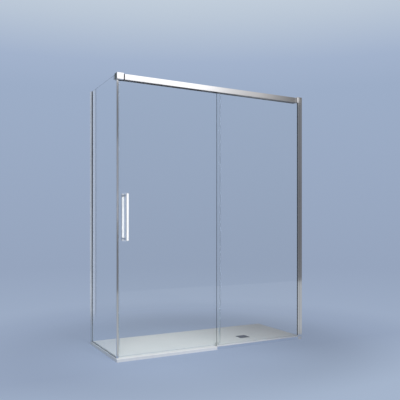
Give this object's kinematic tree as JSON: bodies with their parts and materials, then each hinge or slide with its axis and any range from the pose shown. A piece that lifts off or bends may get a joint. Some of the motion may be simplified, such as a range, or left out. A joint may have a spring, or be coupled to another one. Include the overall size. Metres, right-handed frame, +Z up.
{
  "type": "corner shower enclosure",
  "caption": "Corner shower enclosure with a sliding glass door, fixed glass panes, top rail, wall profiles and a flat shower tray with drain.",
  "frame": {"origin": "middle of the tray's underside, on the floor", "axes": "+Z up, +X along the front from the open corner to the wall, +Y from the front into the enclosure"},
  "size_m": [1.605, 0.6635, 2],
  "materials": {
    "chrome": "polished",
    "bright_aluminium": "bright polished",
    "white_profile": "satin white",
    "clear_glass": "clear, polished edges",
    "clear_seal": "clear",
    "clear_gasket": "satin clear",
    "dark_gasket": "matte",
    "dark_plastic": "matte",
    "guide_plastic": "satin",
    "roller_plastic": "satin",
    "magnet_strip": "matte",
    "steel": "brushed",
    "tray_resin": "satin white",
    "drain_steel": "dark brushed"
  },
  "bodies": {
    "enclosure": {"top_rail": "chrome", "rail_corner_block": "chrome", "rail_end_bracket": "chrome", "right_wall_channel": "bright_aluminium", "right_adjusting_profile": "bright_aluminium", "back_wall_channel": "bright_aluminium", "back_adjusting_profile": "bright_aluminium", "corner_closing_profile": "bright_aluminium", "tray_edge_strip": "bright_aluminium", "fixed_bottom_profile": "white_profile", "fixed_glass": "clear_glass", "side_glass": "clear_glass", "side_bottom_profile": "clear_seal", "rail_glass_gaskets": "clear_gasket", "fixed_bottom_gaskets": "clear_gasket", "side_bottom_gaskets": "clear_gasket", "right_profile_gaskets": "dark_gasket", "back_profile_gaskets": "dark_gasket", "closing_profile_gaskets": "dark_gasket", "corner_block_gaskets": "dark_gasket", "glass_setting_blocks": "dark_plastic", "rail_left_insert": "dark_plastic", "rail_right_insert": "dark_plastic", "closed_door_stop": "dark_plastic", "open_door_stop": "dark_plastic", "wall_channel_caps": "dark_plastic", "bottom_guide": "guide_plastic", "corner_magnet_strip": "magnet_strip", "right_adjusting_screws": "steel", "back_adjusting_screws": "steel", "corner_block_screw": "steel", "bottom_guide_screws": "steel", "shower_tray": "tray_resin", "waste_flange": "drain_steel"},
    "door": {"door_glass": "clear_glass", "left_hanger_plate": "steel", "right_hanger_plate": "steel", "left_clamp_plate": "steel", "right_clamp_plate": "steel", "hanger_bolts": "steel", "hanger_glass_bushes": "guide_plastic", "roller_axles": "steel", "outer_handle_bar": "chrome", "inner_handle_bar": "chrome", "handle_standoffs": "chrome", "handle_gaskets": "clear_gasket", "handle_through_bolts": "steel", "door_leading_seal": "clear_seal", "door_trailing_seal": "clear_seal", "door_bottom_seal": "clear_seal"},
    "wheel_1": {"roller_wheel_1": "roller_plastic", "roller_bearing_1": "steel"},
    "wheel_2": {"roller_wheel_2": "roller_plastic", "roller_bearing_2": "steel"},
    "wheel_3": {"roller_wheel_3": "roller_plastic", "roller_bearing_3": "steel"},
    "wheel_4": {"roller_wheel_4": "roller_plastic", "roller_bearing_4": "steel"},
    "drain_lid": {"drain_cover": "drain_steel"}
  },
  "joints": [
    {"name": "door_slide", "type": "slide", "parent": "enclosure", "child": "door", "axis": [1, 0, 0], "range_m": [0, 0.68]},
    {"name": "wheel_1_spin", "type": "hinge", "parent": "door", "child": "wheel_1", "pos_m": [-0.714, -0.2771, 1.9763], "axis": [0, 1, 0], "range_deg": [0, 4329.1]},
    {"name": "wheel_2_spin", "type": "hinge", "parent": "door", "child": "wheel_2", "pos_m": [-0.654, -0.2771, 1.9763], "axis": [0, 1, 0], "range_deg": [0, 4329.1]},
    {"name": "wheel_3_spin", "type": "hinge", "parent": "door", "child": "wheel_3", "pos_m": [-0.095, -0.2771, 1.9763], "axis": [0, 1, 0], "range_deg": [0, 4329.1]},
    {"name": "wheel_4_spin", "type": "hinge", "parent": "door", "child": "wheel_4", "pos_m": [-0.035, -0.2771, 1.9763], "axis": [0, 1, 0], "range_deg": [0, 4329.1]},
    {"name": "drain_lift", "type": "slide", "parent": "enclosure", "child": "drain_lid", "axis": [0, 0, 1], "range_m": [0, 0.06]}
  ],
  "couplings": [
    {"joint": "wheel_1_spin", "follows": "door_slide", "rad_per_m": 111.11},
    {"joint": "wheel_2_spin", "follows": "door_slide", "rad_per_m": 111.11},
    {"joint": "wheel_3_spin", "follows": "door_slide", "rad_per_m": 111.11},
    {"joint": "wheel_4_spin", "follows": "door_slide", "rad_per_m": 111.11}
  ]
}
